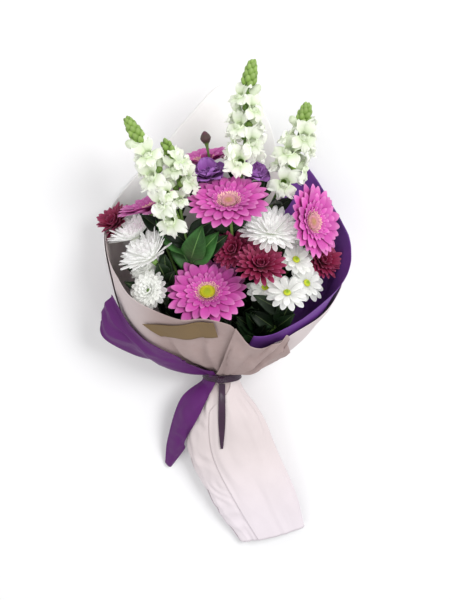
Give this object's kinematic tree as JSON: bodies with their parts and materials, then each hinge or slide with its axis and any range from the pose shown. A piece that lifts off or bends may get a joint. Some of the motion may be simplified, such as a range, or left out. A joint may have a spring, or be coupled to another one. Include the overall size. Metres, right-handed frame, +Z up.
{
  "type": "mixed flower bouquet",
  "caption": "Hand-tied mixed bouquet lying on its back: gerberas, chrysanthemums, daisies, snapdragons, lisianthus and foliage in a layered paper wrap tied with a ribbon.",
  "frame": {"origin": "middle of the footprint, on the surface that the bouquet lies on", "axes": "+Y along the bouquet from the cut stems to the blooms, +X to the right seen from above with the blooms away, +Z up off the surface"},
  "size_m": [0.287, 0.6198, 0.1785],
  "materials": {
    "wrap_pink": "matte florist paper, dusty pink, softly creased",
    "wrap_purple": "matte florist paper, deep purple",
    "wrap_khaki": "matte florist paper, khaki reverse",
    "ribbon": "dark plum satin ribbon",
    "twine": "plain cotton twine",
    "stem": "fresh green stem, satin",
    "leaf": "dark green leaf with a waxy sheen",
    "gerbera_eye": "dense yellow-green disc florets, matt",
    "gerbera_petal": "velvety magenta-pink petal",
    "burgundy_petal": "velvety burgundy petal",
    "white_petal": "soft white petal",
    "snapdragon_floret": "soft white petal with a green tinge",
    "violet_petal": "velvety violet petal"
  },
  "bodies": {
    "root": {"daisy_left_1": "white_petal", "daisy_left_2": "white_petal", "daisy_left_stems": "stem", "daisy_right_1": "white_petal", "daisy_right_2": "white_petal", "daisy_right_3": "white_petal", "daisy_right_4": "white_petal", "daisy_right_5": "white_petal", "daisy_right_stems": "stem", "foliage_left": "leaf", "foliage_right": "leaf", "gerbera_back_eye": "gerbera_eye", "gerbera_back_petals": "gerbera_petal", "gerbera_back_stem": "stem", "gerbera_front_eye": "gerbera_eye", "gerbera_front_petals": "gerbera_petal", "gerbera_front_stem": "stem", "gerbera_left_eye": "gerbera_eye", "gerbera_left_petals": "gerbera_petal", "gerbera_left_stem": "stem", "gerbera_right_eye": "gerbera_eye", "gerbera_right_petals": "gerbera_petal", "gerbera_right_stem": "stem", "gerbera_top_eye": "gerbera_eye", "gerbera_top_petals": "gerbera_petal", "gerbera_top_stem": "stem", "lisianthus_left": "violet_petal", "lisianthus_right": "violet_petal", "lisianthus_stems": "stem", "mum_back": "burgundy_petal", "mum_back_stems": "stem", "mum_centre": "burgundy_petal", "mum_centre_stems": "stem", "mum_left": "burgundy_petal", "mum_left_stem": "stem", "mum_near": "burgundy_petal", "mum_right": "burgundy_petal", "mum_right_stem": "stem", "paper_back": "wrap_pink", "paper_front": "wrap_pink", "paper_hem": "wrap_khaki", "paper_lapel": "wrap_pink", "paper_purple_left": "wrap_purple", "paper_purple_right": "wrap_purple", "ribbon_band": "ribbon", "ribbon_tail": "ribbon", "snapdragon_centre_florets": "snapdragon_floret", "snapdragon_centre_stem": "stem", "snapdragon_left_florets": "snapdragon_floret", "snapdragon_left_side_florets": "snapdragon_floret", "snapdragon_left_stem": "stem", "snapdragon_right_florets": "snapdragon_floret", "snapdragon_right_stem": "stem", "spider_mum_lower": "white_petal", "spider_mum_lower_stem": "stem", "spider_mum_right": "white_petal", "spider_mum_right_stem": "stem", "spider_mum_upper": "white_petal", "spider_mum_upper_stem": "stem", "stem_twine": "twine"}
  },
  "joints": []
}
